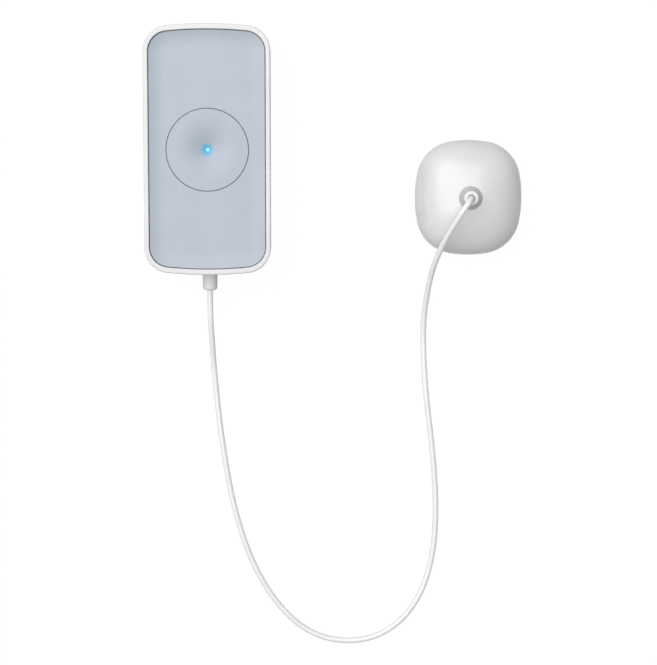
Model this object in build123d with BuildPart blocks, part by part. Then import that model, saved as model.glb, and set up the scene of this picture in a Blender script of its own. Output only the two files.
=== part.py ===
from build123d import *
import os
from math import cos, pi, radians, sin, sqrt, tan

# Water leak sensor: a main unit with a lit button, a thin cable and a dome-shaped floor probe.
# It lies on its back. +Z comes out of the front panel and +Y points to the main unit's top end.
# The origin is the middle of the main unit's back face, on the surface that it all lies on.

# Main unit, outside
hub_width = 50.0
hub_length = 98.5
hub_depth = 23.3
end_radius = 160.0
corner_radius = 10.0
smallest_corner = 0.8
back_edge_radius = 2.0
front_edge_radius = 0.6
seam_chamfer = 0.25
hub_draft = 1.4

# Main unit, walls and seam
wall = 2.6
floor_thickness = 2.0
split_height = 13.0
seal_inset = 0.95
seal_width = 0.9
seal_height = 0.9
seal_channel_depth = 1.4
slide_fit = 0.15
close_fit = 0.05
overcut = 1.0

# Front panel and its rim
rim_width = 1.88
rim_end_extra = 0.28
groove_width = 0.38
panel_drop = 0.5
panel_thickness = 1.3
dish_depth = 1.5
dish_border = 6.2
dish_steps = 4
ledge_width = 2.9
ledge_thickness = 1.5
rim_inner_radius = 0.35

# Button and its light
button_radius = 16.16
button_gap = 0.28
button_travel = 0.5
dimple_radius = 13.0
dimple_depth = 3.5
dimple_angle = 25.0
dimple_wall = 1.0
button_wall = 1.3
button_edge_radius = 0.2
button_flange_width = 1.4
button_flange_thickness = 0.9
button_flange_gap = 0.15
actuator_offset = 8.0
actuator_radius = 1.6
actuator_length = 1.3
guide_radius = 0.95
guide_flange_radius = 1.9
guide_flange_thickness = 0.7
guide_crown = 0.25

# Circuit board and what stands on it
board_clearance = 0.5
board_thickness = 1.2
board_gap_over_cells = 0.6
post_radius = 1.9
post_pin_radius = 0.9
post_pin_height = 1.9
post_x = 17.6
post_top_y = 8.0
post_bottom_y = -30.0
led_width = 3.2
led_depth = 2.8
led_height = 0.7
led_corner = 0.3
led_bowl_wall = 0.3
led_bowl_depth = 0.4
switch_size = 6.2
switch_height = 2.0
switch_floor = 0.3
switch_frame_chamfer = 0.5
plunger_radius = 1.7
plunger_inside = 1.0
plunger_gap = 0.05
radio_y = 32.0
radio_width = 18.0
radio_length = 24.0
radio_board_thickness = 0.8
shield_size = 15.0
shield_margin = 1.0
shield_height = 1.7
shield_radius = 0.6

# Two AAA cells side by side in a bay behind the board
cell_diameter = 10.5
cell_length = 44.5
cell_spacing = 11.2
cell_nub_radius = 1.9
cell_nub_height = 1.0
cell_edge_radius = 0.5
cell_floor_gap = 0.3
bay_start_y = -6.0
bay_side_gap = 0.3
bay_wall = 1.8
bay_wall_height = 12.6
spring_space = 4.0
plate_space = 0.7
contact_thickness = 0.4
contact_width = 7.6
contact_height = 8.6
spring_reach = 3.1
pip_radius = 2.4
pip_height = 0.25
pip_taper = 30

# Battery door, sliding out at the top end
door_thickness = 1.5
door_tongue_width = 1.4
door_tongue_thickness = 0.65
door_foot = 1.0
door_rib_count = 5
door_rib_pitch = 2.0
door_rib_width = 1.0
door_rib_length = 12.0
door_rib_depth = 0.4
door_rib_round_share = 0.9
door_rib_from_end = 7.0

# Screws that hold the main unit together
screw_x = 19.0
screw_y = 41.6
screw_shank_radius = 1.1
screw_head_radius = 2.1
screw_head_height = 1.6
screw_length = 10.0
screw_boss_radius = 3.5
screw_bore_depth = 6.0
screw_fit = 0.1
drive_recess_radius = 0.9
drive_recess_depth = 0.9

# Cable where it leaves the main unit
cable_diameter = 2.3
relief_height = 9.0
relief_radius = 3.0
relief_length = 6.9
relief_end_radius = 1.1
relief_taper = 0.1
relief_neck_radius = 2.3
relief_flange_radius = 3.4
relief_flange_thickness = 1.4
relief_socket_depth = 1.0
relief_seat_depth = 0.7
plug_start_y = -40.5
plug_width = 6.6
plug_height = 5.0
plug_length = 5.5
plug_nose_width = 5.2
plug_nose_height = 3.6
plug_nose_length = 2.6
plug_chamfer = 0.4
header_wall = 1.1
header_length = 6.8
plug_seat_gap = 0.2

# Probe, outside
probe_x = 104.0
probe_y = -19.0
probe_width = 42.9
probe_length = 46.1
probe_height = 20.0
probe_side_radius = 52.0
probe_end_radius = 46.0
probe_corner_radius = 16.0
probe_shoulder = 6.5
probe_lift = 1.2
probe_foot_share = 0.955
probe_foot_rise = 1.6
probe_foot_rise_share = 0.985
outline_steps = 20
dome_power = 2.0
dome_angles = (16, 31, 45, 57, 68, 78)
skirt_foot_radius = 4.95
skirt_top_radius = 2.95
skirt_height = 2.95
skirt_sink = 0.3
skirt_foot_angle = 50.0

# Probe, inside
probe_wall = 2.8
probe_recess_wall = 1.5
probe_recess_top = 4.2
probe_recess_top_share = 0.985
base_recess = 0.2
base_thickness = 2.2
base_rim_width = 1.2
base_rim_height = 1.2
probe_seal_width = 1.1
electrode_inset_x = 4.3
electrode_inset_y = 4.8
electrode_head_radius = 2.2
electrode_shank_radius = 1.2
electrode_crown = 0.3
probe_screw_inset = 4.1
probe_screw_radius = 0.9
probe_screw_head_radius = 1.9
probe_screw_head_height = 1.0
probe_screw_bore_depth = 1.2
probe_screw_length = 7.0
probe_screw_hole_end = 0.5
probe_boss_radius = 2.4
probe_board_height = 5.4
probe_board_thickness = 1.0
probe_board_corner = 3.0

# Collar where the cable goes into the probe
collar_radius = 2.85
collar_bore_radius = 1.42
collar_rise = 0.45
collar_edge_radius = 0.25
collar_socket_depth = 1.9
collar_neck_radius = 2.1
collar_lip_radius = 2.9
collar_lip_thickness = 1.2
anchor_radius = 2.4
anchor_length = 4.0
anchor_chamfer = 0.4

# Heights that follow from the sizes above
rim_top = hub_depth
panel_edge_top = rim_top - panel_drop
panel_flat_top = panel_edge_top - dish_depth
panel_underside = panel_flat_top - panel_thickness
ledge_underside = panel_underside - ledge_thickness
cell_axis_height = floor_thickness + cell_floor_gap + cell_diameter / 2
board_underside = cell_axis_height + cell_diameter / 2 + board_gap_over_cells
board_top = board_underside + board_thickness
dimple_floor = panel_flat_top - dimple_depth
button_underside = dimple_floor - dimple_wall
flange_top = panel_underside - button_flange_gap
flange_underside = flange_top - button_flange_thickness
actuator_underside = flange_underside - actuator_length
plunger_top = actuator_underside - plunger_gap
switch_top = board_top + switch_height
led_top = board_top + led_height
guide_underside = led_top + button_travel + slide_fit
base_underside = probe_lift + base_recess
base_top = base_underside + base_thickness
skirt_top = probe_height + skirt_height
collar_top = skirt_top + collar_rise
cable_end_height = collar_top - collar_socket_depth
shell_ceiling = probe_height - probe_wall
hub_end_y = hub_length / 2
relief_end_y = -hub_end_y - relief_length
cable_radius = cable_diameter / 2

os.makedirs("parts", exist_ok=True)


def hub_outline(inset, end_extra=0):
    """The main unit's outline: straight sides, bowed ends and round corners, drawn in by inset."""
    half_width = hub_width / 2 - inset
    half_length = hub_length / 2 - inset - end_extra
    bow = end_radius - inset
    shoulder = half_length - (bow - sqrt(bow**2 - half_width**2))
    with BuildSketch(mode=Mode.PRIVATE) as outline:
        with BuildLine():
            ThreePointArc((-half_width, shoulder), (0, half_length), (half_width, shoulder))
            Line((half_width, shoulder), (half_width, -shoulder))
            ThreePointArc((half_width, -shoulder), (0, -half_length), (-half_width, -shoulder))
            Line((-half_width, -shoulder), (-half_width, shoulder))
        make_face()
        fillet(outline.vertices(), max(corner_radius - inset, smallest_corner))
    return outline.sketch


def hub_slab(inset, bottom, top, mode=Mode.ADD, end_extra=0):
    """Add or cut a slab of the main unit's outline between two heights."""
    with BuildSketch(Plane.XY.offset(bottom)) as profile:
        add(hub_outline(inset, end_extra))
    extrude(profile.sketch, amount=top - bottom, mode=mode)


def block(x_size, y_size, bottom, top, centre=(0, 0), mode=Mode.ADD, corner=0):
    """Add or cut an upright block between two heights."""
    with BuildSketch(Plane.XY.offset(bottom)) as profile:
        with Locations(centre):
            if corner > 0:
                RectangleRounded(x_size, y_size, corner)
            else:
                Rectangle(x_size, y_size)
    extrude(profile.sketch, amount=top - bottom, mode=mode)


def post(radius, bottom, top, places, mode=Mode.ADD):
    """Add or cut an upright round post at each place."""
    with BuildSketch(Plane.XY.offset(bottom)) as profile:
        with Locations(*places):
            Circle(radius)
    extrude(profile.sketch, amount=top - bottom, mode=mode)


def save(piece, name):
    """Name a finished piece and write it."""
    piece.part.label = name
    export_step(piece.part, "parts/" + name + ".step")


screw_places = [(x, y) for x in (-screw_x, screw_x) for y in (-screw_y, screw_y)]
post_places = [(x, y) for x in (-post_x, post_x) for y in (post_bottom_y, post_top_y)]

bay_inner_width = cell_spacing + cell_diameter + 2 * bay_side_gap
bay_inner_length = cell_length + spring_space + plate_space
bay_end_y = bay_start_y + bay_inner_length
bay_centre_y = (bay_start_y + bay_end_y) / 2
door_width = bay_inner_width - 2 * slide_fit
door_start_y = bay_start_y - door_foot
door_top = door_thickness
tongue_underside = door_top - door_tongue_thickness
door_groove_width = door_width + 2 * door_tongue_width + 2 * slide_fit
seal_centre = seal_inset + seal_width / 2
seal_channel_half = seal_width / 2 + close_fit
tongue_half = seal_width / 2 - close_fit
seal_floor = split_height - seal_channel_depth
seal_top = seal_floor + seal_height

# Outer form of the main unit, drafted towards the back; the battery door follows it at the top end
with BuildPart() as hub_envelope:
    with BuildSketch(Plane.XY.offset(rim_top)) as front_outline:
        add(hub_outline(0))
    extrude(front_outline.sketch, amount=-rim_top, taper=hub_draft)
    fillet(hub_envelope.faces().sort_by(Axis.Z)[-1].edges(), front_edge_radius)
    fillet(hub_envelope.faces().sort_by(Axis.Z)[0].edges(), back_edge_radius)

# Rear housing: a moulded tub with the battery bay, screw bosses, board posts and the cable hole
with BuildPart() as rear_housing:
    add(hub_envelope.part)
    split(bisect_by=Plane.XY.offset(split_height), keep=Keep.BOTTOM)
    chamfer(rear_housing.faces().sort_by(Axis.Z)[-1].edges(), seam_chamfer)
    hub_slab(wall, floor_thickness, split_height, Mode.SUBTRACT)

    # Screw bosses in the corners, and the posts that carry the board, inside the tub alone
    with BuildSketch(Plane.XY.offset(floor_thickness)):
        with Locations(*screw_places):
            Circle(screw_boss_radius)
        add(hub_outline(wall / 2), mode=Mode.INTERSECT)
    extrude(amount=split_height - floor_thickness)
    post(post_radius, floor_thickness, board_underside, post_places)
    post(post_pin_radius, board_underside, board_underside + post_pin_height, post_places)

    # Channel in the rim for the cord seal
    with BuildSketch(Plane.XY.offset(seal_floor)):
        add(hub_outline(seal_centre - seal_channel_half))
        add(hub_outline(seal_centre + seal_channel_half), mode=Mode.SUBTRACT)
    extrude(amount=seal_channel_depth, mode=Mode.SUBTRACT)

    # Battery bay: four walls standing on the floor, with a rib between the two cells
    bay_outer = (bay_inner_width + 2 * bay_wall, bay_inner_length + 2 * bay_wall)
    block(*bay_outer, floor_thickness, bay_wall_height, (0, bay_centre_y))
    block(
        bay_inner_width,
        bay_inner_length,
        door_top + slide_fit,
        bay_wall_height,
        (0, bay_centre_y),
        Mode.SUBTRACT,
    )

    # Door opening: lips below, grooves for the tongues, and the way out through the end wall
    opening_length = hub_end_y - door_start_y + slide_fit
    opening_centre = (0, door_start_y - slide_fit + opening_length / 2)
    block(door_width + 2 * slide_fit, opening_length, 0, tongue_underside, opening_centre, Mode.SUBTRACT)
    block(
        door_groove_width,
        opening_length,
        tongue_underside - slide_fit,
        door_top + slide_fit,
        opening_centre,
        Mode.SUBTRACT,
    )

    # Counterbored screw holes, entered from the back
    with Locations(Location((0, 0, 0), (180, 0, 0))):
        with Locations(*screw_places):
            CounterBoreHole(
                radius=screw_shank_radius + screw_fit,
                counter_bore_radius=screw_head_radius + 2 * screw_fit,
                counter_bore_depth=screw_bore_depth,
                depth=split_height,
            )

    # Hole for the strain relief in the bottom end wall, with a round seat for its shoulder
    for hole_radius, hole_depth in ((relief_neck_radius, 2 * wall), (relief_radius, relief_seat_depth)):
        with BuildSketch(Plane.XZ.offset(hub_end_y + overcut)) as hole_outline:
            with Locations((0, relief_height)):
                Circle(hole_radius + close_fit)
        extrude(hole_outline.sketch, amount=-(hole_depth + overcut), mode=Mode.SUBTRACT)
save(rear_housing, "rear_housing")

# Cord seal lying in the channel of the rear housing's rim
with BuildPart() as perimeter_seal:
    with BuildSketch(Plane.XY.offset(seal_floor)):
        add(hub_outline(seal_inset))
        add(hub_outline(seal_inset + seal_width), mode=Mode.SUBTRACT)
    extrude(amount=seal_height)
save(perimeter_seal, "perimeter_seal")

# Front bezel: the white rim with its rounded edge, the ledge under the panel and the screw bosses
with BuildPart() as front_bezel:
    add(hub_envelope.part)
    split(bisect_by=Plane.XY.offset(split_height), keep=Keep.TOP)
    chamfer(front_bezel.faces().sort_by(Axis.Z)[0].edges(), seam_chamfer)
    hub_slab(rim_width, panel_underside, rim_top, Mode.SUBTRACT, rim_end_extra)
    rim_edges = front_bezel.faces().filter_by(Axis.Z).sort_by(Axis.Z)[-1].inner_wires()[0].edges()
    fillet(rim_edges, rim_inner_radius)
    hub_slab(wall, split_height, ledge_underside, Mode.SUBTRACT)
    hub_slab(wall + ledge_width, ledge_underside, panel_underside, Mode.SUBTRACT)
    with BuildSketch(Plane.XY.offset(split_height)):
        with Locations(*screw_places):
            Circle(screw_boss_radius)
        add(hub_outline(wall / 2), mode=Mode.INTERSECT)
    extrude(amount=panel_underside - split_height)
    boss_hole_end = panel_underside - overcut
    post(screw_shank_radius + screw_fit / 2, split_height, boss_hole_end, screw_places, Mode.SUBTRACT)
    # Tongue that presses on the cord seal
    with BuildSketch(Plane.XY.offset(seal_top)):
        add(hub_outline(seal_centre - tongue_half))
        add(hub_outline(seal_centre + tongue_half), mode=Mode.SUBTRACT)
    extrude(amount=split_height - seal_top)
save(front_bezel, "front_bezel")

# Front panel: a shallow tray with a raised border and a round hole for the button
with BuildPart() as panel_dish:
    for step in range(dish_steps + 1):
        share = step / dish_steps
        inset = rim_width + groove_width + dish_border * (1 - share)
        with BuildSketch(Plane.XY.offset(panel_flat_top + dish_depth * share**2)):
            add(hub_outline(inset, rim_end_extra))
    loft()

with BuildPart() as front_panel:
    hub_slab(rim_width + groove_width, panel_underside, panel_edge_top, end_extra=rim_end_extra)
    add(panel_dish.part, mode=Mode.SUBTRACT)
    post(button_radius + button_gap, panel_underside, panel_edge_top, [(0, 0)], Mode.SUBTRACT)
save(front_panel, "front_panel")

# Button disc: a round key with a funnel-shaped dimple, a flange under the panel and an actuator
guide_bore = guide_radius + close_fit
flange_radius = button_radius + button_flange_width
rib_radius = button_radius - button_wall
disc_underside = panel_flat_top - button_wall
# The dimple's rim curves down until it reaches the cone's slope, and the cone goes on to the light guide
cone_slope = tan(radians(dimple_angle))
rim_slope = tan(radians(dimple_angle / 2))
cone_radius = (dimple_depth - dimple_radius * rim_slope + guide_bore * cone_slope) / (cone_slope - rim_slope)
cone_top = dimple_floor + (cone_radius - guide_bore) * cone_slope
with BuildPart() as button_disc:
    with BuildSketch(Plane.XZ):
        with BuildLine():
            dimple_rim = TangentArc((dimple_radius, panel_flat_top), (cone_radius, cone_top), tangent=(-1, 0))
            cone_foot = (guide_flange_radius + button_wall, button_underside)
            Polyline(dimple_rim @ 1, (guide_bore, dimple_floor), (guide_bore, button_underside), cone_foot)
            under_rim = TangentArc((dimple_radius, disc_underside), cone_foot, tangent=(-1, 0))
            Polyline(
                under_rim @ 0,
                (rib_radius, disc_underside),
                (rib_radius, flange_underside),
                (flange_radius, flange_underside),
                (flange_radius, flange_top),
                (button_radius, flange_top),
                (button_radius, panel_flat_top),
                dimple_rim @ 0,
            )
        make_face()
    revolve(axis=Axis.Z)
    top_edges = button_disc.edges().filter_by(GeomType.CIRCLE).group_by(Axis.Z)[-1]
    fillet(top_edges.sort_by(SortBy.RADIUS)[-1], button_edge_radius)
    post(actuator_radius, actuator_underside, disc_underside, [(0, -actuator_offset)])
save(button_disc, "button_disc")

# Light guide: a clear pin in the dimple's centre, with a flange behind the disc
with BuildPart() as light_guide:
    with BuildSketch(Plane.XZ):
        with BuildLine():
            tip = TangentArc((0, dimple_floor + guide_crown), (guide_radius, dimple_floor), tangent=(1, 0))
            flange_bottom = button_underside - close_fit - guide_flange_thickness
            Polyline(
                tip @ 1,
                (guide_radius, button_underside - close_fit),
                (guide_flange_radius, button_underside - close_fit),
                (guide_flange_radius, flange_bottom),
                (guide_radius, flange_bottom),
                (guide_radius, guide_underside),
                (0, guide_underside),
                tip @ 0,
            )
        make_face()
    revolve(axis=Axis.Z)
save(light_guide, "light_guide")

# Status light: a surface-mounted lamp body with its bowl
with BuildPart() as status_led:
    block(led_width, led_depth, board_top, led_top, corner=led_corner)
    post(led_depth / 2 - led_bowl_wall, led_top - led_bowl_depth, led_top, [(0, 0)], Mode.SUBTRACT)
save(status_led, "status_led")

# Circuit board, notched round the screw bosses and drilled for the posts' pins
with BuildPart() as circuit_board:
    hub_slab(wall + board_clearance, board_underside, board_top)
    post(screw_boss_radius + board_clearance, board_underside, board_top, screw_places, Mode.SUBTRACT)
    post(post_pin_radius + slide_fit, board_underside, board_top, post_places, Mode.SUBTRACT)
save(circuit_board, "circuit_board")

# Tact switch under the button's actuator, and its moving plunger
switch_place = (0, -actuator_offset)
with BuildPart() as tact_switch:
    block(switch_size, switch_size, board_top, switch_top, switch_place)
    chamfer(tact_switch.edges().filter_by(Axis.Z), switch_frame_chamfer)
    post(plunger_radius + slide_fit, board_top + switch_floor, switch_top, [switch_place], Mode.SUBTRACT)
save(tact_switch, "tact_switch")

with BuildPart() as switch_plunger:
    post(plunger_radius, switch_top - plunger_inside, plunger_top, [switch_place])
    fillet(switch_plunger.edges().group_by(Axis.Z)[-1], button_edge_radius)
save(switch_plunger, "switch_plunger")

# Radio module: a small board with a drawn metal shield
with BuildPart() as radio_module:
    radio_place = (0, radio_y)
    radio_board_top = board_top + radio_board_thickness
    block(radio_width, radio_length, board_top, radio_board_top, radio_place)
    shield_place = (0, radio_y - (radio_length - shield_size) / 2 + shield_margin)
    shield_top = radio_board_top + shield_height
    block(shield_size, shield_size, radio_board_top, shield_top, shield_place, corner=shield_radius)
    fillet(radio_module.faces().sort_by(Axis.Z)[-1].edges(), shield_radius / 2)
save(radio_module, "radio_module")

# AAA cells, one each way round
for side, heading, name in ((-1, 1, "battery_left"), (1, -1, "battery_right")):
    if heading > 0:
        cell_foot_y = bay_start_y + spring_space
    else:
        cell_foot_y = bay_end_y - spring_space
    cell_x = side * cell_spacing / 2
    can_length = cell_length - cell_nub_height
    with BuildPart() as cell:
        with BuildSketch(Plane((cell_x, cell_foot_y, cell_axis_height), x_dir=(1, 0, 0), z_dir=(0, 0, 1))):
            with BuildLine():
                Polyline(
                    (0, 0),
                    (cell_diameter / 2, 0),
                    (cell_diameter / 2, heading * can_length),
                    (cell_nub_radius, heading * can_length),
                    (cell_nub_radius, heading * cell_length),
                    (0, heading * cell_length),
                    (0, 0),
                )
            make_face()
        revolve(axis=Axis((cell_x, 0, cell_axis_height), (0, 1, 0)))
        can_edges = cell.edges().filter_by(GeomType.CIRCLE).sort_by(SortBy.RADIUS)[-2:]
        fillet(can_edges, cell_edge_radius)
    save(cell, name)

# Bent leaf springs at the cells' flat ends
with BuildPart() as battery_springs:
    for side, end_y, heading in ((-1, bay_start_y, 1), (1, bay_end_y, -1)):
        spring_corner = (side * cell_spacing / 2 - contact_width / 2, end_y, cell_axis_height)
        spring_plane = Plane(spring_corner, (0, heading, 0), (1, 0, 0))
        half_height = contact_height / 2
        # Seen from the side: a foot against the bay's wall and a bowed tongue that reaches the cell
        with BuildSketch(spring_plane):
            with Locations((contact_thickness / 2 + close_fit, 0)):
                Rectangle(contact_thickness, contact_height)
            with BuildLine():
                foot_face = contact_thickness + close_fit
                outer = ThreePointArc(
                    (foot_face, -half_height),
                    (foot_face + spring_reach, 0),
                    (foot_face, half_height),
                )
                Line(outer @ 1, (foot_face, half_height - contact_thickness))
                inner = ThreePointArc(
                    (foot_face, half_height - contact_thickness),
                    (foot_face + spring_reach - contact_thickness, 0),
                    (foot_face, -half_height + contact_thickness),
                )
                Line(inner @ 1, outer @ 0)
            make_face()
        extrude(amount=contact_width)
save(battery_springs, "battery_springs")

# Flat contact plates with a pressed pip at the cells' nubs
with BuildPart() as battery_plates:
    for side, end_y, heading in ((-1, bay_end_y, -1), (1, bay_start_y, 1)):
        plate_centre = (side * cell_spacing / 2, end_y + heading * close_fit, cell_axis_height)
        plate_plane = Plane(plate_centre, (1, 0, 0), (0, heading, 0))
        with BuildSketch(plate_plane):
            Rectangle(contact_width, contact_height)
        extrude(amount=contact_thickness)
        with BuildSketch(plate_plane.offset(contact_thickness)):
            Circle(pip_radius)
        extrude(amount=pip_height - close_fit, taper=pip_taper)
save(battery_plates, "battery_plates")

# Battery door: a flat slide with tongues along both sides and grip ribs at its outer end
door_length = hub_end_y - door_start_y
door_centre = (0, door_start_y + door_length / 2)
with BuildPart() as battery_door:
    block(door_width, door_length, 0, door_top, door_centre)
    block(door_width + 2 * door_tongue_width, door_length, tongue_underside, door_top, door_centre)
    add(hub_envelope.part, mode=Mode.INTERSECT)
    with BuildSketch(Plane.XY):
        rib_span = (door_rib_count - 1) * door_rib_pitch
        with Locations((0, hub_end_y - door_rib_from_end - rib_span / 2)):
            with GridLocations(door_rib_length, door_rib_pitch, 1, door_rib_count):
                RectangleRounded(door_rib_length, door_rib_width, door_rib_round_share * door_rib_width / 2)
    extrude(amount=door_rib_depth, mode=Mode.SUBTRACT)
save(battery_door, "battery_door")

# Four thread-forming screws in the rear housing's counterbores
with BuildPart() as housing_screws:
    head_bottom = screw_bore_depth - screw_head_height
    post(screw_head_radius, head_bottom, screw_bore_depth, screw_places)
    fillet(housing_screws.edges().group_by(Axis.Z)[0], screw_head_height / 4)
    post(screw_shank_radius, screw_bore_depth, screw_bore_depth + screw_length, screw_places)
    post(drive_recess_radius, head_bottom, head_bottom + drive_recess_depth, screw_places, Mode.SUBTRACT)
save(housing_screws, "housing_screws")

# Strain relief: a moulded bush through the bottom end wall, turned about the cable's axis
cable_exit_y = relief_end_y + relief_socket_depth
relief_inner_y = -hub_end_y + wall + close_fit
relief_shoulder_y = -hub_end_y + relief_seat_depth - close_fit
with BuildPart() as cable_strain_relief:
    with BuildSketch(Plane.XY.offset(relief_height)):
        with BuildLine():
            Polyline(
                (0, cable_exit_y),
                (cable_radius + slide_fit, cable_exit_y),
                (cable_radius + slide_fit, relief_end_y),
                (relief_radius - relief_taper, relief_end_y),
                (relief_radius, relief_shoulder_y),
                (relief_neck_radius, relief_shoulder_y),
                (relief_neck_radius, relief_inner_y),
                (relief_flange_radius, relief_inner_y),
                (relief_flange_radius, relief_inner_y + relief_flange_thickness),
                (0, relief_inner_y + relief_flange_thickness),
                (0, cable_exit_y),
            )
        make_face()
    revolve(axis=Axis((0, 0, relief_height), (0, 1, 0)))
    end_rim = cable_strain_relief.faces().sort_by(Axis.Y)[0].outer_wire().edges()
    fillet(end_rim, relief_end_radius)
save(cable_strain_relief, "cable_strain_relief")

# Short end of the cable inside the main unit, from the strain relief to the plug
with BuildPart() as inner_lead:
    lead_start_y = relief_inner_y + relief_flange_thickness
    with BuildSketch(Plane.XZ.offset(-lead_start_y)):
        with Locations((0, relief_height)):
            Circle(cable_radius)
    extrude(amount=-(plug_start_y - lead_start_y))
save(inner_lead, "inner_lead")

# Plug on the cable, with a keyed nose that goes into the header
plug_end_y = plug_start_y + plug_length
with BuildPart() as connector_plug:
    with BuildSketch(Plane.XZ.offset(-plug_start_y)):
        with Locations((0, relief_height)):
            Rectangle(plug_width, plug_height)
    extrude(amount=-plug_length)
    chamfer(connector_plug.edges().filter_by(Axis.Y), plug_chamfer)
    with BuildSketch(Plane.XZ.offset(-plug_end_y)):
        with Locations((0, relief_height)):
            Rectangle(plug_nose_width, plug_nose_height)
    extrude(amount=-plug_nose_length)
save(connector_plug, "connector_plug")

# Header under the board, with a socket facing the cable
header_start_y = plug_end_y + plug_seat_gap
socket_width = plug_nose_width + 2 * slide_fit
socket_height = plug_nose_height + 2 * slide_fit
header_bottom = relief_height - socket_height / 2 - header_wall
with BuildPart() as connector_header:
    block(
        socket_width + 2 * header_wall,
        header_length,
        header_bottom,
        board_underside,
        (0, header_start_y + header_length / 2),
    )
    with BuildSketch(Plane.XZ.offset(-header_start_y)):
        with Locations((0, relief_height)):
            Rectangle(socket_width, socket_height)
    extrude(amount=-plug_nose_length, mode=Mode.SUBTRACT)
save(connector_header, "connector_header")


def probe_plane(height):
    """A level plane over the probe's centre."""
    return Plane((probe_x, probe_y, height))


def probe_outline(width, length):
    """The probe's plump outline: four bowed sides with wide round corners."""
    share = width / probe_width
    half_width = width / 2
    half_length = length / 2
    side = probe_side_radius * share
    end = probe_end_radius * share
    # Where the bowed side and the bowed end would cross, found by stepping from one to the other
    cross_x = half_width
    for _ in range(outline_steps):
        cross_y = half_length - (end - sqrt(end**2 - cross_x**2))
        cross_x = half_width - (side - sqrt(side**2 - cross_y**2))
    with BuildSketch(mode=Mode.PRIVATE) as outline:
        with BuildLine():
            ThreePointArc((-cross_x, cross_y), (0, half_length), (cross_x, cross_y))
            ThreePointArc((cross_x, cross_y), (half_width, 0), (cross_x, -cross_y))
            ThreePointArc((cross_x, -cross_y), (0, -half_length), (-cross_x, -cross_y))
            ThreePointArc((-cross_x, -cross_y), (-half_width, 0), (-cross_x, cross_y))
        make_face()
        fillet(outline.vertices(), probe_corner_radius * share)
    return outline.sketch


def dome_heights(inset):
    """Height and share of the full outline for each level of the dome, drawn in by inset."""
    levels = [(probe_shoulder, 1.0)]
    top = probe_height - inset
    last = sin(radians(dome_angles[-1])) ** (2 / dome_power)
    for angle in dome_angles:
        share = cos(radians(angle)) ** (2 / dome_power)
        rise = sin(radians(angle)) ** (2 / dome_power) / last
        levels.append((probe_shoulder + (top - probe_shoulder) * rise, share))
    return levels


def probe_dome(levels, inset):
    """Loft the dome through its levels."""
    levels_drawn = []
    for height, share in levels:
        with BuildSketch(probe_plane(height)) as level:
            add(probe_outline((probe_width - 2 * inset) * share, (probe_length - 2 * inset) * share))
        levels_drawn.append(level.sketch)
    loft(levels_drawn)


foot_levels = [(probe_lift, probe_foot_share), (probe_lift + probe_foot_rise, probe_foot_rise_share)]
recess_width = probe_width * probe_foot_share - 2 * probe_recess_wall
recess_length = probe_length * probe_foot_share - 2 * probe_recess_wall
plate_width = recess_width - 2 * slide_fit
plate_length = recess_length - 2 * slide_fit
rim_inset = 2 * (probe_seal_width + 2 * slide_fit + probe_wall - probe_recess_wall)
inner_inset = rim_inset + 2 * base_rim_width
probe_screw_x = recess_width / 2 - probe_screw_inset
probe_screw_y = recess_length / 2 - probe_screw_inset
electrode_x = (plate_width - inner_inset) / 2 - electrode_inset_x
electrode_y = (plate_length - inner_inset) / 2 - electrode_inset_y
screw_spots = [(probe_screw_x, 0), (-probe_screw_x, 0), (0, probe_screw_y), (0, -probe_screw_y)]
electrode_spots = [(x, y) for x in (-electrode_x, electrode_x) for y in (-electrode_y, electrode_y)]
probe_screw_spots = [(probe_x + x, probe_y + y) for x, y in screw_spots]
probe_electrode_spots = [(probe_x + x, probe_y + y) for x, y in electrode_spots]
probe_centre = [(probe_x, probe_y)]

with BuildPart() as probe_outside:
    probe_dome(foot_levels + dome_heights(0), 0)

with BuildPart() as probe_inside:
    probe_dome([(probe_recess_top, probe_recess_top_share)] + dome_heights(probe_wall), probe_wall)

# Screw bosses under the dome, reaching into its wall
with BuildPart() as probe_bosses:
    probe_dome([(probe_lift, probe_foot_share)] + dome_heights(probe_wall / 2), probe_wall / 2)
    with BuildSketch(probe_plane(base_top + close_fit)) as boss_outline:
        with Locations(*[(x - probe_x, y - probe_y) for x, y in probe_screw_spots]):
            Circle(probe_boss_radius)
    extrude(boss_outline.sketch, amount=probe_height, mode=Mode.INTERSECT)

# Probe shell: the white dome, hollow below, with a flared skirt under the collar and screw bosses
with BuildPart() as probe_shell:
    add(probe_outside.part)
    add(probe_inside.part, mode=Mode.SUBTRACT)
    with BuildSketch(probe_plane(probe_lift)):
        add(probe_outline(recess_width, recess_length))
    extrude(amount=probe_recess_top - probe_lift, mode=Mode.SUBTRACT)
    add(probe_bosses.part)
    boss_hole_top = base_top + probe_screw_length
    post(probe_screw_radius + close_fit, base_top, boss_hole_top, probe_screw_spots, Mode.SUBTRACT)
    # The skirt rises out of the dome and grows steeper up to the collar
    foot_slope = (-cos(radians(skirt_foot_angle)), sin(radians(skirt_foot_angle)))
    with BuildSketch(Plane((probe_x, probe_y, 0), x_dir=(1, 0, 0), z_dir=(0, -1, 0))):
        with BuildLine():
            skirt_foot = (skirt_foot_radius, probe_height - skirt_sink)
            flare = TangentArc(skirt_foot, (skirt_top_radius, skirt_top), tangent=foot_slope)
            Polyline(flare @ 1, (0, skirt_top), (0, probe_height - skirt_sink), flare @ 0)
        make_face()
    revolve(axis=Axis((probe_x, probe_y, 0), (0, 0, 1)))
    post(collar_neck_radius + close_fit, shell_ceiling - overcut, skirt_top, probe_centre, Mode.SUBTRACT)
save(probe_shell, "probe_shell")

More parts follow.
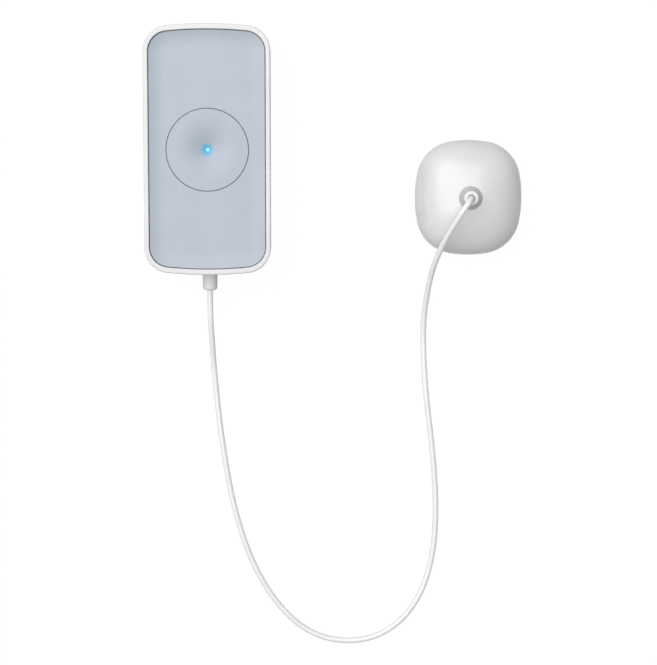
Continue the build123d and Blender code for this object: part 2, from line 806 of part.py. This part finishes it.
# Collar: a white bush with a rounded rim that the cable goes into
collar_lip_top = shell_ceiling - close_fit
collar_bottom = collar_lip_top - collar_lip_thickness
with BuildPart() as cable_collar:
    with BuildSketch(Plane((probe_x, probe_y, 0), x_dir=(1, 0, 0), z_dir=(0, -1, 0))):
        with BuildLine():
            Polyline(
                (0, cable_end_height),
                (collar_bore_radius, cable_end_height),
                (collar_bore_radius, collar_top),
                (collar_radius, collar_top),
                (collar_radius, skirt_top + close_fit),
                (collar_neck_radius, skirt_top + close_fit),
                (collar_neck_radius, collar_lip_top),
                (collar_lip_radius, collar_lip_top),
                (collar_lip_radius, collar_bottom),
                (0, collar_bottom),
                (0, cable_end_height),
            )
        make_face()
    revolve(axis=Axis((probe_x, probe_y, 0), (0, 0, 1)))
    rim = cable_collar.faces().filter_by(Axis.Z).sort_by(Axis.Z)[-1]
    fillet(rim.edges(), collar_edge_radius)
save(cable_collar, "cable_collar")

# Cable inside the probe, from the collar down to the probe's board
probe_board_top = probe_board_height + probe_board_thickness
with BuildPart() as probe_lead:
    post(cable_radius, probe_board_top, collar_bottom, probe_centre)
save(probe_lead, "probe_lead")

# Crimped ring that keeps the cable from being pulled out
with BuildPart() as cable_anchor:
    anchor_top = collar_bottom - close_fit
    post(anchor_radius, anchor_top - anchor_length, anchor_top, probe_centre)
    chamfer(cable_anchor.edges(), anchor_chamfer)
    post(cable_radius + close_fit, anchor_top - anchor_length, anchor_top, probe_centre, Mode.SUBTRACT)
save(cable_anchor, "cable_anchor")

# Base: a plate let into the shell's underside, with a rim, electrode holes and screw holes
with BuildPart() as probe_base:
    with BuildSketch(probe_plane(base_underside)):
        add(probe_outline(plate_width, plate_length))
    extrude(amount=base_thickness)
    with BuildSketch(probe_plane(base_top)):
        add(probe_outline(plate_width - rim_inset, plate_length - rim_inset))
        add(probe_outline(plate_width - inner_inset, plate_length - inner_inset), mode=Mode.SUBTRACT)
    extrude(amount=base_rim_height)
    boss_room = probe_boss_radius + slide_fit
    post(boss_room, base_top, base_top + base_rim_height, probe_screw_spots, Mode.SUBTRACT)
    post(electrode_shank_radius + close_fit, base_underside, base_top, probe_electrode_spots, Mode.SUBTRACT)
    with Locations(Location((probe_x, probe_y, base_underside), (180, 0, 0))):
        with Locations(*screw_spots):
            CounterBoreHole(
                radius=probe_screw_radius + close_fit,
                counter_bore_radius=probe_screw_head_radius + slide_fit,
                counter_bore_depth=probe_screw_bore_depth,
                depth=base_thickness,
            )
save(probe_base, "probe_base")

# Flat seal squeezed between the base and the shell's step
with BuildPart() as probe_seal:
    with BuildSketch(probe_plane(base_top)):
        seal_step = 2 * slide_fit
        add(probe_outline(plate_width - seal_step, plate_length - seal_step))
        seal_inner = seal_step + 2 * probe_seal_width
        add(probe_outline(plate_width - seal_inner, plate_length - seal_inner), mode=Mode.SUBTRACT)
    extrude(amount=probe_recess_top - base_top)
save(probe_seal, "probe_seal")

# Four stainless studs: they carry the probe and sense the water between them
with BuildPart() as probe_electrodes:
    post(electrode_head_radius, 0, base_underside, probe_electrode_spots)
    fillet(probe_electrodes.edges().group_by(Axis.Z)[0], electrode_crown)
    post(electrode_shank_radius, base_underside, probe_board_height, probe_electrode_spots)
save(probe_electrodes, "probe_electrodes")

# Four screws that hold the base in the shell
with BuildPart() as probe_screws:
    head_top = base_underside + probe_screw_bore_depth
    head_bottom = head_top - probe_screw_head_height
    shank_top = boss_hole_top - probe_screw_hole_end
    post(probe_screw_head_radius, head_bottom, head_top, probe_screw_spots)
    fillet(probe_screws.edges().group_by(Axis.Z)[0], probe_screw_head_height / 4)
    post(probe_screw_radius, head_top, shank_top, probe_screw_spots)
save(probe_screws, "probe_screws")

# Probe board, standing on the electrodes
with BuildPart() as probe_board:
    board_room = probe_boss_radius + board_clearance
    with BuildSketch(probe_plane(probe_board_height)):
        board_size = (2 * (probe_screw_x - board_room), 2 * (probe_screw_y - board_room))
        RectangleRounded(*board_size, probe_board_corner)
    extrude(amount=probe_board_thickness)
save(probe_board, "probe_board")

# Cable route: out of the strain relief, down to the table, round the loop and up into the collar
table = cable_radius
cable_route = [
    (0.0, cable_exit_y, relief_height),
    (-0.1, -66.0, relief_height),
    (0.4, -77.0, 5.2),
    (0.9, -89.8, table),
    (3.4, -115.7, table),
    (8.6, -147.8, table),
    (17.6, -174.0, table),
    (30.9, -193.1, table),
    (45.9, -202.5, table),
    (63.9, -203.0, table),
    (77.9, -195.1, table),
    (86.9, -181.7, table),
    (91.2, -165.1, table),
    (92.2, -147.0, table),
    (90.8, -124.7, table),
    (87.7, -100.9, table),
    (86.5, -82.2, table),
    (86.4, -68.5, 2.3),
    (87.7, -57.0, 7.1),
    (89.7, -46.0, 14.0),
    (93.8, -35.4, 21.4),
    (97.6, -28.6, 26.2),
    (100.5, -23.6, 28.7),
    (102.7, -20.7, 27.7),
    (probe_x, probe_y, 24.8),
    (probe_x, probe_y, cable_end_height),
]
corners = [Vector(*point) for point in cable_route]
arc_share = 0.45
bend_radii = []
for before, here, after in zip(corners, corners[1:], corners[2:]):
    turn = (here - before).get_angle(after - here)
    shorter = min((here - before).length, (after - here).length)
    bend_radii.append(arc_share * shorter / tan(radians(turn) / 2))
    run = (here - before).length
    print("bend", round(turn, 1), "degrees, radius", round(bend_radii[-1], 1), "run before", round(run, 1))

with BuildPart() as sensor_cable:
    with BuildLine() as cable_line:
        FilletPolyline(*corners, radius=bend_radii)
    with BuildSketch(Plane(corners[0], z_dir=corners[1] - corners[0])):
        Circle(cable_radius)
    sweep()
save(sensor_cable, "sensor_cable")

cable_length = cable_line.wire().length
volume_share = sensor_cable.part.volume / (pi * cable_radius**2 * cable_length)
print("cable length", round(cable_length, 1), "volume share", round(volume_share, 4))
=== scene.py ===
from math import cos, pi, radians, sin

import bpy
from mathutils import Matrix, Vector


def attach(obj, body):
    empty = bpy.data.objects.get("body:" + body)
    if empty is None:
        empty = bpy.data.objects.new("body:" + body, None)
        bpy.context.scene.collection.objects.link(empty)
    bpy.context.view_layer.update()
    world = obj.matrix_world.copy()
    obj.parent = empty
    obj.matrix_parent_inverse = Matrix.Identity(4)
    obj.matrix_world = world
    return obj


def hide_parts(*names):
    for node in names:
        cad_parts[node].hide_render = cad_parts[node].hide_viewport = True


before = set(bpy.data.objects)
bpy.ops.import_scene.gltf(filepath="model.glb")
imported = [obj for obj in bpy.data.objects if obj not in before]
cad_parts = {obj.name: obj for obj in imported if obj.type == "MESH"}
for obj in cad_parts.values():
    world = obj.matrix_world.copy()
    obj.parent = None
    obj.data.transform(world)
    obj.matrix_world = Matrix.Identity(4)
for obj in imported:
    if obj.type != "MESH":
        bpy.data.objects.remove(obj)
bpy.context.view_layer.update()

# Camera
# The photograph looks down on the sensor from straight above, tilted a little towards the cable's loop.
# A long lens at 0.7 m gives the slight narrowing of the main unit towards its lower end.
frame_height_px = 665
focal_px = 1792
camera_data = bpy.data.cameras.new("photo_camera")
camera_data.sensor_width = 36.0
camera_data.lens = focal_px * camera_data.sensor_width / frame_height_px
camera = bpy.data.objects.new("photo_camera", camera_data)
camera.location = (0.04774, -0.00397, 0.73043)
camera.rotation_euler = (radians(-5.5), 0, 0)
bpy.context.scene.collection.objects.link(camera)
bpy.context.scene.camera = camera


# Cable
# A thin round lead of two cores and a screen in a white thermoplastic jacket, extruded in one run.
# It leaves the strain relief, lies on the table in one loose loop and goes down into the probe's collar.
def shade(hex_colour):
    """An sRGB hex colour as the linear colour that a shader takes."""
    channels = [int(hex_colour[i : i + 2], 16) / 255 for i in (1, 3, 5)]
    return [c / 12.92 if c <= 0.04045 else ((c + 0.055) / 1.055) ** 2.4 for c in channels] + [1.0]


def add_node(tree, kind, values=None, links=None, **settings):
    """Add a shader node with its settings, its socket values and the links that come into it."""
    made = tree.nodes.new(kind)
    for name, value in settings.items():
        setattr(made, name, value)
    for socket, value in (values or {}).items():
        made.inputs[socket].default_value = value
    for socket, source in (links or {}).items():
        tree.links.new(source, made.inputs[socket])
    return made


def empty_material(name):
    """A new material with an empty node tree."""
    material = bpy.data.materials.new(name)
    material.use_nodes = True
    material.node_tree.nodes.clear()
    return material


def moulded(
    name, light, dark, roughness, ior=1.53, grain_mm=0.5, grain_height_mm=0.004, patch_mm=14.0, gloss=0.5
):
    """A moulded plastic or rubber: two near shades in wide soft patches, and the tool's fine eroded grain.
    The real grain is about 0.1 mm across; it is drawn at grain_mm so that it shows."""
    material = empty_material(name)
    tree = material.node_tree
    place = add_node(tree, "ShaderNodeTexCoord")
    patches = add_node(
        tree,
        "ShaderNodeTexNoise",
        {"Scale": 1000 / patch_mm, "Detail": 2.0},
        {"Vector": place.outputs["Object"]},
    )
    grain = add_node(
        tree,
        "ShaderNodeTexNoise",
        {"Scale": 1000 / grain_mm, "Detail": 3.0},
        {"Vector": place.outputs["Object"]},
    )
    ramp = add_node(tree, "ShaderNodeValToRGB", links={"Fac": patches.outputs["Fac"]})
    ramp.color_ramp.elements[0].position = 0.35
    ramp.color_ramp.elements[0].color = shade(dark)
    ramp.color_ramp.elements[1].position = 0.65
    ramp.color_ramp.elements[1].color = shade(light)
    sheen = add_node(
        tree,
        "ShaderNodeMapRange",
        {"From Min": 0.3, "From Max": 0.7, "To Min": roughness - 0.04, "To Max": roughness + 0.04},
        {"Value": grain.outputs["Fac"]},
    )
    relief = add_node(
        tree,
        "ShaderNodeBump",
        {"Strength": 1.0, "Distance": grain_height_mm / 1000},
        {"Height": grain.outputs["Fac"]},
    )
    surface = add_node(
        tree,
        "ShaderNodeBsdfPrincipled",
        {"IOR": ior, "Specular IOR Level": gloss},
        {
            "Base Color": ramp.outputs["Color"],
            "Roughness": sheen.outputs["Result"],
            "Normal": relief.outputs["Normal"],
        },
    )
    add_node(tree, "ShaderNodeOutputMaterial", links={"Surface": surface.outputs["BSDF"]})
    return material


def finish_nodes(material, slot, *names):
    """Give CAD nodes one material."""
    for name in names:
        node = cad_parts[name]
        node.data.materials.clear()
        node.data.materials.append(material)


cable_diameter = 0.0023
cable_route = [
    (0.0, -0.05515, 0.009),
    (-0.0001, -0.066, 0.009),
    (0.0004, -0.077, 0.0052),
    (0.0009, -0.0898, 0.00115),
    (0.0034, -0.1157, 0.00115),
    (0.0086, -0.1478, 0.00115),
    (0.0176, -0.174, 0.00115),
    (0.0309, -0.1931, 0.00115),
    (0.0459, -0.2025, 0.00115),
    (0.0639, -0.203, 0.00115),
    (0.0779, -0.1951, 0.00115),
    (0.0869, -0.1817, 0.00115),
    (0.0912, -0.1651, 0.00115),
    (0.0922, -0.147, 0.00115),
    (0.0908, -0.1247, 0.00115),
    (0.0877, -0.1009, 0.00115),
    (0.0865, -0.0822, 0.00115),
    (0.0864, -0.0685, 0.0023),
    (0.0877, -0.057, 0.0071),
    (0.0897, -0.046, 0.014),
    (0.0938, -0.0354, 0.0214),
    (0.0976, -0.0286, 0.0262),
    (0.1005, -0.0236, 0.0287),
    (0.1027, -0.0207, 0.0277),
    (0.104, -0.019, 0.0248),
    (0.104, -0.019, 0.0215),
]
cable_curve = bpy.data.curves.new("cable_jacket", "CURVE")
cable_curve.dimensions = "3D"
cable_curve.bevel_depth = cable_diameter / 2
cable_curve.bevel_resolution = 10
cable_curve.resolution_u = 24
cable_curve.use_fill_caps = True
cable_line = cable_curve.splines.new("NURBS")
cable_line.points.add(len(cable_route) - 1)
for point, place in zip(cable_line.points, cable_route):
    point.co = (*place, 1.0)
cable_line.order_u = 3
cable_line.use_endpoint_u = True
cable = bpy.data.objects.new("cable_jacket", cable_curve)
bpy.context.scene.collection.objects.link(cable)
jacket = moulded(
    "tpe_jacket_extruded_white",
    "#FEFDFC",
    "#FAF9F8",
    0.30,
    ior=1.5,
    grain_mm=0.2,
    grain_height_mm=0.0004,
    gloss=0.8,
)
cable_curve.materials.append(jacket)
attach(cable, "root")
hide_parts("sensor_cable")
finish_nodes(jacket, "cable_jacket", "inner_lead", "probe_lead")

# Studio
# A plain white table under one large soft lamp at the upper left and an even white room.
# The table and the room look white to the camera and in gloss, and the table keeps the soft shadow.
scene = bpy.context.scene
scene.view_settings.view_transform = "Standard"


def seen_directly(tree):
    """One for rays from the camera, a reflection or a clear piece, and zero for light that is scattered."""
    ray = add_node(tree, "ShaderNodeLightPath")
    camera_or_gloss = add_node(
        tree,
        "ShaderNodeMath",
        links={0: ray.outputs["Is Camera Ray"], 1: ray.outputs["Is Glossy Ray"]},
        operation="MAXIMUM",
    )
    return add_node(
        tree,
        "ShaderNodeMath",
        links={0: camera_or_gloss.outputs["Value"], 1: ray.outputs["Is Transmission Ray"]},
        operation="MAXIMUM",
    )


table_material = empty_material("white_paper_table")
tree = table_material.node_tree
bounce = add_node(tree, "ShaderNodeBsdfDiffuse", {"Color": shade("#7E7E7E")})
faint = add_node(tree, "ShaderNodeBsdfDiffuse", {"Color": shade("#3C3C3C")})
glow = add_node(tree, "ShaderNodeEmission", {"Color": shade("#FFFFFF"), "Strength": 0.97})
paper = add_node(tree, "ShaderNodeAddShader", links={0: faint.outputs["BSDF"], 1: glow.outputs["Emission"]})
table_surface = add_node(
    tree,
    "ShaderNodeMixShader",
    links={
        "Fac": seen_directly(tree).outputs["Value"],
        1: bounce.outputs["BSDF"],
        2: paper.outputs["Shader"],
    },
)
add_node(tree, "ShaderNodeOutputMaterial", links={"Surface": table_surface.outputs["Shader"]})
table_half = 2.5
table_corners = [(x * table_half, y * table_half, 0) for x, y in ((-1, -1), (1, -1), (1, 1), (-1, 1))]
table_mesh = bpy.data.meshes.new("table")
table_mesh.from_pydata(table_corners, [], [(0, 1, 2, 3)])
table = bpy.data.objects.new("table", table_mesh)
table_mesh.materials.append(table_material)
scene.collection.objects.link(table)

room = bpy.data.worlds.new("white_room")
scene.world = room
room.use_nodes = True
tree = room.node_tree
tree.nodes.clear()
room_fill = 0.30
fill = add_node(tree, "ShaderNodeBackground", {"Color": shade("#F8FAFD"), "Strength": room_fill})
white = add_node(tree, "ShaderNodeBackground", {"Color": shade("#FFFFFF"), "Strength": 1.0})
sky = add_node(
    tree,
    "ShaderNodeMixShader",
    links={
        "Fac": seen_directly(tree).outputs["Value"],
        1: fill.outputs["Background"],
        2: white.outputs["Background"],
    },
)
add_node(tree, "ShaderNodeOutputWorld", links={"Surface": sky.outputs["Shader"]})

# For a small lamp this power lights a card that faces up to lamp_share of its own colour.
# A lamp this wide gives about 0.7 of that, and the room's fill makes up the rest.
lamp_distance = 1.2
lamp_tilt = radians(26)
lamp_heading = radians(136)
lamp_size = 1.6
lamp_share = 0.95
lamp_data = bpy.data.lights.new("soft_lamp", "AREA")
lamp_data.shape = "DISK"
lamp_data.size = lamp_size
lamp_data.energy = lamp_share / cos(lamp_tilt) * pi * pi * lamp_distance**2
lamp = bpy.data.objects.new("soft_lamp", lamp_data)
aim = Vector((0.05, -0.02, 0.01))
toward_lamp = Vector(
    (sin(lamp_tilt) * cos(lamp_heading), sin(lamp_tilt) * sin(lamp_heading), cos(lamp_tilt))
)
lamp.location = aim + toward_lamp * lamp_distance
lamp.rotation_euler = toward_lamp.to_track_quat("Z", "Y").to_euler()
scene.collection.objects.link(lamp)

# Main unit's white housing
# The rim, the rear tub and the battery door are injection-moulded ABS with a satin eroded surface.
# It gives a soft white with a broad, weak highlight along the rounded edge.
white_abs = moulded("abs_satin_moulded_white", "#EAE9E8", "#E6E5E4", 0.38)
finish_nodes(white_abs, "white_plastic", "front_bezel", "rear_housing", "battery_door")

# Front panel
# A blue-grey ABS tray, duller than the housing, that lies on the ledge behind the rim.
panel_light = "#BBC3CE"
panel_dark = "#B7BFCA"
panel_abs = moulded("abs_satin_moulded_blue_grey", panel_light, panel_dark, 0.55)
finish_nodes(panel_abs, "panel_plastic", "front_panel")


# Button
# A round key of the panel's own ABS with a funnel-shaped dimple, held by a flange under the panel.
# The lit pin's glow on the dimple is painted: round the pin the key's colour is tinted cyan and the plastic
# gives off blue light, centred a little left of the pin.
def axis_distance(tree, x=0.0, y=0.0):
    """Distance from the upright axis through x and y."""
    place = add_node(tree, "ShaderNodeTexCoord")
    from_axis = add_node(
        tree, "ShaderNodeVectorMath", {1: (x, y, 0.0)}, {0: place.outputs["Object"]}, operation="SUBTRACT"
    )
    level = add_node(
        tree,
        "ShaderNodeVectorMath",
        {1: (1.0, 1.0, 0.0)},
        {0: from_axis.outputs["Vector"]},
        operation="MULTIPLY",
    )
    return add_node(tree, "ShaderNodeVectorMath", links={0: level.outputs["Vector"]}, operation="LENGTH")


def tint(material, share, colour):
    """Multiply a moulded material's colour by another where share is one. Gives back the surface shader."""
    tree = material.node_tree
    surface = next(node for node in tree.nodes if node.type == "BSDF_PRINCIPLED")
    tinted = add_node(
        tree,
        "ShaderNodeMix",
        {7: shade(colour)},
        {0: share, 6: surface.inputs["Base Color"].links[0].from_socket},
        data_type="RGBA",
        blend_type="MULTIPLY",
    )
    tree.links.new(tinted.outputs[2], surface.inputs["Base Color"])
    return surface


glow_x = -0.00022
glow_edge_radius = 0.0031
glow_full_radius = 0.0011
glow_strength = 0.22
button_abs = moulded("abs_satin_moulded_button", panel_light, panel_dark, 0.55)
tree = button_abs.node_tree
painted_glow = add_node(
    tree,
    "ShaderNodeMapRange",
    {"From Min": glow_edge_radius, "From Max": glow_full_radius},
    {"Value": axis_distance(tree, glow_x).outputs["Value"]},
)
# Painted light: near the pin the base colour is multiplied towards cyan and the key itself gives off blue
# light.
surface = tint(button_abs, painted_glow.outputs["Result"], "#7CF0F4")
surface.inputs["Emission Color"].default_value = shade("#0060FF")
painted_glow_strength = add_node(
    tree, "ShaderNodeMath", {1: glow_strength}, {0: painted_glow.outputs["Result"]}, operation="MULTIPLY"
)
tree.links.new(painted_glow_strength.outputs["Value"], surface.inputs["Emission Strength"])
finish_nodes(button_abs, "panel_plastic", "button_disc")

# Light guide and lamp
# A clear polycarbonate pin in front of a white surface-mounted lamp.
# It is lit from behind and looks white-blue in its core.
guide_radius = 0.00095
guide_pc = empty_material("polycarbonate_clear_lit")
tree = guide_pc.node_tree
across = add_node(
    tree,
    "ShaderNodeMapRange",
    {"From Min": 0.0, "From Max": guide_radius},
    {"Value": axis_distance(tree).outputs["Value"]},
)
lit = add_node(tree, "ShaderNodeValToRGB", links={"Fac": across.outputs["Result"]})
lit.color_ramp.elements[0].position = 0.25
lit.color_ramp.elements[0].color = shade("#C4FFFF")
lit.color_ramp.elements[1].position = 1.0
lit.color_ramp.elements[1].color = shade("#4AAEE0")
lit_middle = lit.color_ramp.elements.new(0.62)
lit_middle.color = shade("#74E0FC")
clouding = add_node(tree, "ShaderNodeTexNoise", {"Scale": 4000, "Detail": 2.0})
gloss_range = add_node(
    tree, "ShaderNodeMapRange", {"To Min": 0.10, "To Max": 0.22}, {"Value": clouding.outputs["Fac"]}
)
surface = add_node(
    tree,
    "ShaderNodeBsdfPrincipled",
    {"IOR": 1.58, "Emission Strength": 1.0, "Base Color": shade("#1C3440")},
    {"Emission Color": lit.outputs["Color"], "Roughness": gloss_range.outputs["Result"]},
)
add_node(tree, "ShaderNodeOutputMaterial", links={"Surface": surface.outputs["BSDF"]})
finish_nodes(guide_pc, "light_lens", "light_guide")

lamp_body = moulded(
    "lamp_body_white", "#F0EEE2", "#E6E2C6", 0.4, grain_mm=0.2, grain_height_mm=0.001, patch_mm=1.5
)
finish_nodes(lamp_body, "lamp", "status_led")

# Strain relief
# A thermoplastic rubber bush with a flange, moulded round the cable and pulled through the end wall.
relief_tpe = moulded("tpe_matte_moulded_grey_white", "#FAFBFB", "#F7F8F8", 0.55)
finish_nodes(relief_tpe, "relief_rubber", "cable_strain_relief")

# Probe
# A hollow ABS dome with a screwed-in base plate and a pressed-in collar, all in one satin white.
# The flared skirt that carries the collar is painted greyer, a painted shade round the collar; its texture is
# the same as the dome's.
probe_x = 0.104
probe_y = -0.019
skirt_foot_radius = 0.0051
skirt_shade_full_radius = 0.0044
probe_light = "#E8E8E8"
probe_dark = "#E4E4E4"
probe_abs = moulded("abs_satin_moulded_probe_white", probe_light, probe_dark, 0.30, gloss=0.8)
tree = probe_abs.node_tree
painted_skirt_shade = add_node(
    tree,
    "ShaderNodeMapRange",
    {"From Min": skirt_foot_radius, "From Max": skirt_shade_full_radius},
    {"Value": axis_distance(tree, probe_x, probe_y).outputs["Value"]},
    interpolation_type="SMOOTHSTEP",
)
# Painted shade: the skirt's colour is multiplied by a light grey, fully inside the inner radius and fading
# out at the skirt's foot.
tint(probe_abs, painted_skirt_shade.outputs["Result"], "#DEDEDE")
finish_nodes(probe_abs, "probe_plastic", "probe_shell")
plain_abs = moulded("abs_satin_moulded_probe_fittings", "#F0F0F0", "#ECECEC", 0.34)
finish_nodes(plain_abs, "probe_plastic", "cable_collar", "probe_base")

# Seals
# Grey silicone: an extruded cord between the housing halves and a die-cut ring under the probe's shell.
seal_silicone = moulded("silicone_matte_grey", "#4A4C4E", "#434547", 0.65, ior=1.41, grain_mm=0.3, gloss=0.4)
finish_nodes(seal_silicone, "seal_rubber", "perimeter_seal", "probe_seal")


# Circuit boards
# Glass laminate under green solder mask: the glass weave shows faintly, and copper traces lighter.
def woven_board(name, light, dark, trace):
    """Solder mask over a woven laminate, with rows of traces."""
    material = empty_material(name)
    tree = material.node_tree
    place = add_node(tree, "ShaderNodeTexCoord")
    weave_threads = [
        add_node(
            tree,
            "ShaderNodeTexWave",
            {"Scale": 400, "Distortion": 0.4, "Detail": 1.0},
            {"Vector": place.outputs["Object"]},
            bands_direction=direction,
        )
        for direction in ("X", "Y")
    ]
    weave = add_node(
        tree,
        "ShaderNodeMath",
        links={0: weave_threads[0].outputs["Fac"], 1: weave_threads[1].outputs["Fac"]},
        operation="MULTIPLY",
    )
    mask = add_node(tree, "ShaderNodeValToRGB", links={"Fac": weave.outputs["Value"]})
    mask.color_ramp.elements[0].color = shade(dark)
    mask.color_ramp.elements[1].color = shade(light)
    rows = add_node(
        tree,
        "ShaderNodeTexWave",
        {"Scale": 110, "Distortion": 6.0, "Detail": 0.0, "Detail Scale": 0.3},
        {"Vector": place.outputs["Object"]},
        bands_direction="X",
    )
    traces = add_node(
        tree, "ShaderNodeMapRange", {"From Min": 0.86, "From Max": 0.92}, {"Value": rows.outputs["Fac"]}
    )
    colour = add_node(
        tree,
        "ShaderNodeMix",
        {7: shade(trace)},
        {0: traces.outputs["Result"], 6: mask.outputs["Color"]},
        data_type="RGBA",
    )
    relief = add_node(
        tree,
        "ShaderNodeBump",
        {"Strength": 1.0, "Distance": 0.000035},
        {"Height": traces.outputs["Result"]},
    )
    sheen = add_node(
        tree, "ShaderNodeMapRange", {"To Min": 0.22, "To Max": 0.34}, {"Value": weave.outputs["Value"]}
    )
    surface = add_node(
        tree,
        "ShaderNodeBsdfPrincipled",
        {"IOR": 1.55},
        {
            "Base Color": colour.outputs[2],
            "Roughness": sheen.outputs["Result"],
            "Normal": relief.outputs["Normal"],
        },
    )
    add_node(tree, "ShaderNodeOutputMaterial", links={"Surface": surface.outputs["BSDF"]})
    return material


board_mask = woven_board("solder_mask_green", "#1C5A37", "#164B2D", "#2C7A4B")
finish_nodes(board_mask, "board", "circuit_board", "probe_board")

# Tact switch
# A black glass-filled nylon frame and its paler plunger.
switch_nylon = moulded("nylon_glass_filled_black", "#232427", "#1B1C1E", 0.5, grain_mm=0.2, patch_mm=2.0)
finish_nodes(switch_nylon, "black_plastic", "tact_switch")
plunger_nylon = moulded("nylon_moulded_charcoal", "#3A3B3E", "#323336", 0.45, grain_mm=0.2, patch_mm=1.5)
finish_nodes(plunger_nylon, "black_plastic", "switch_plunger")


# Radio module
# A drawn nickel-silver shield, with the sheet's fine rolling lines, soldered to its own small board.
def rolled_metal(name, light, dark, roughness, line_mm, stretch=(1.0, 25.0, 1.0)):
    """Sheet or wire metal: its tone and gloss vary along fine drawn or rolled lines."""
    material = empty_material(name)
    tree = material.node_tree
    place = add_node(tree, "ShaderNodeTexCoord")
    along = add_node(
        tree,
        "ShaderNodeMapping",
        {"Scale": tuple(1000 / line_mm / share for share in stretch)},
        {"Vector": place.outputs["Object"]},
    )
    lines = add_node(
        tree, "ShaderNodeTexNoise", {"Scale": 1.0, "Detail": 3.0}, {"Vector": along.outputs["Vector"]}
    )
    ramp = add_node(tree, "ShaderNodeValToRGB", links={"Fac": lines.outputs["Fac"]})
    ramp.color_ramp.elements[0].position = 0.3
    ramp.color_ramp.elements[0].color = shade(dark)
    ramp.color_ramp.elements[1].position = 0.7
    ramp.color_ramp.elements[1].color = shade(light)
    sheen = add_node(
        tree,
        "ShaderNodeMapRange",
        {"From Min": 0.3, "From Max": 0.7, "To Min": roughness - 0.06, "To Max": roughness + 0.06},
        {"Value": lines.outputs["Fac"]},
    )
    relief = add_node(
        tree, "ShaderNodeBump", {"Strength": 1.0, "Distance": 0.000002}, {"Height": lines.outputs["Fac"]}
    )
    surface = add_node(
        tree,
        "ShaderNodeBsdfPrincipled",
        {"Metallic": 1.0},
        {
            "Base Color": ramp.outputs["Color"],
            "Roughness": sheen.outputs["Result"],
            "Normal": relief.outputs["Normal"],
        },
    )
    add_node(tree, "ShaderNodeOutputMaterial", links={"Surface": surface.outputs["BSDF"]})
    return material


shield_metal = rolled_metal("nickel_silver_rolled", "#C6C4BC", "#B4B2AA", 0.32, 0.06)
finish_nodes(shield_metal, "shield", "radio_module")

# Battery contacts
# Leaf springs and plates stamped from spring steel strip and plated with nickel.
contact_metal = rolled_metal(
    "spring_steel_nickel_plated", "#C9C7BF", "#B9B7AF", 0.26, 0.05, stretch=(1.0, 1.0, 20.0)
)
finish_nodes(contact_metal, "contact", "battery_springs", "battery_plates")

# Screws and crimped ring
# Zinc-plated steel with the bluish clear coat that such small screws have.
screw_metal = rolled_metal("zinc_plated_steel", "#B4B8BE", "#9DA1A8", 0.34, 0.08, stretch=(1.0, 1.0, 1.0))
finish_nodes(screw_metal, "screw", "housing_screws", "probe_screws", "cable_anchor")

# Electrodes
# Stainless studs, turned, with the tool's rings on their faces.
stud_metal = rolled_metal("stainless_steel_turned", "#CFCFCD", "#BDBDBB", 0.24, 0.10, stretch=(1.0, 1.0, 1.0))
finish_nodes(stud_metal, "stud", "probe_electrodes")

# Plug and header
# Natural nylon, slightly yellow, with a fine moulded surface.
natural_nylon = moulded("nylon_natural", "#EAE3D2", "#E2DAC6", 0.48, grain_mm=0.3, patch_mm=4.0)
finish_nodes(natural_nylon, "connector", "connector_header", "connector_plug")


# Cells
# AAA cells: a nickel-plated steel can in a printed film wrap.
# The wrap is dark blue with a silver-grey band at the nub end.
cell_length = 0.0445
wrap_start = 0.008
band_start = 0.74
wrap_end = 0.972
bare_steel = "#C8C7C2"


def wrapped_cell(name, foot_y, heading):
    """A cell that points along +Y or -Y: bare steel at both ends, and two colours of wrap between them."""
    material = empty_material(name)
    tree = material.node_tree
    place = add_node(tree, "ShaderNodeTexCoord")
    along = add_node(tree, "ShaderNodeSeparateXYZ", links={"Vector": place.outputs["Object"]})
    share = add_node(
        tree,
        "ShaderNodeMapRange",
        {"From Min": foot_y, "From Max": foot_y + heading * cell_length},
        {"Value": along.outputs["Y"]},
    )
    wrap = add_node(tree, "ShaderNodeValToRGB", links={"Fac": share.outputs["Result"]})
    wrap.color_ramp.interpolation = "CONSTANT"
    wrap.color_ramp.elements[0].position = 0.0
    wrap.color_ramp.elements[0].color = shade(bare_steel)
    wrap.color_ramp.elements[1].position = wrap_start
    wrap.color_ramp.elements[1].color = shade("#22375C")
    for position, colour in ((band_start, "#B9BCC0"), (wrap_end, bare_steel)):
        band = wrap.color_ramp.elements.new(position)
        band.color = shade(colour)
    bare = add_node(tree, "ShaderNodeValToRGB", links={"Fac": share.outputs["Result"]})
    bare.color_ramp.interpolation = "CONSTANT"
    bare.color_ramp.elements[0].position = 0.0
    bare.color_ramp.elements[0].color = (1.0, 1.0, 1.0, 1.0)
    bare.color_ramp.elements[1].position = wrap_start
    bare.color_ramp.elements[1].color = (0.0, 0.0, 0.0, 1.0)
    nub_end = bare.color_ramp.elements.new(wrap_end)
    nub_end.color = (1.0, 1.0, 1.0, 1.0)
    ripple = add_node(
        tree, "ShaderNodeTexNoise", {"Scale": 900, "Detail": 2.0}, {"Vector": place.outputs["Object"]}
    )
    sheen = add_node(
        tree, "ShaderNodeMapRange", {"To Min": 0.20, "To Max": 0.34}, {"Value": ripple.outputs["Fac"]}
    )
    relief = add_node(
        tree, "ShaderNodeBump", {"Strength": 1.0, "Distance": 0.00001}, {"Height": ripple.outputs["Fac"]}
    )
    surface = add_node(
        tree,
        "ShaderNodeBsdfPrincipled",
        links={
            "Base Color": wrap.outputs["Color"],
            "Metallic": bare.outputs["Color"],
            "Roughness": sheen.outputs["Result"],
            "Normal": relief.outputs["Normal"],
        },
    )
    add_node(tree, "ShaderNodeOutputMaterial", links={"Surface": surface.outputs["BSDF"]})
    return material


left_foot_y = -0.002
right_foot_y = 0.0392
finish_nodes(wrapped_cell("cell_wrap_left", left_foot_y, 1), "cell", "battery_left")
finish_nodes(wrapped_cell("cell_wrap_right", right_foot_y, -1), "cell", "battery_right")
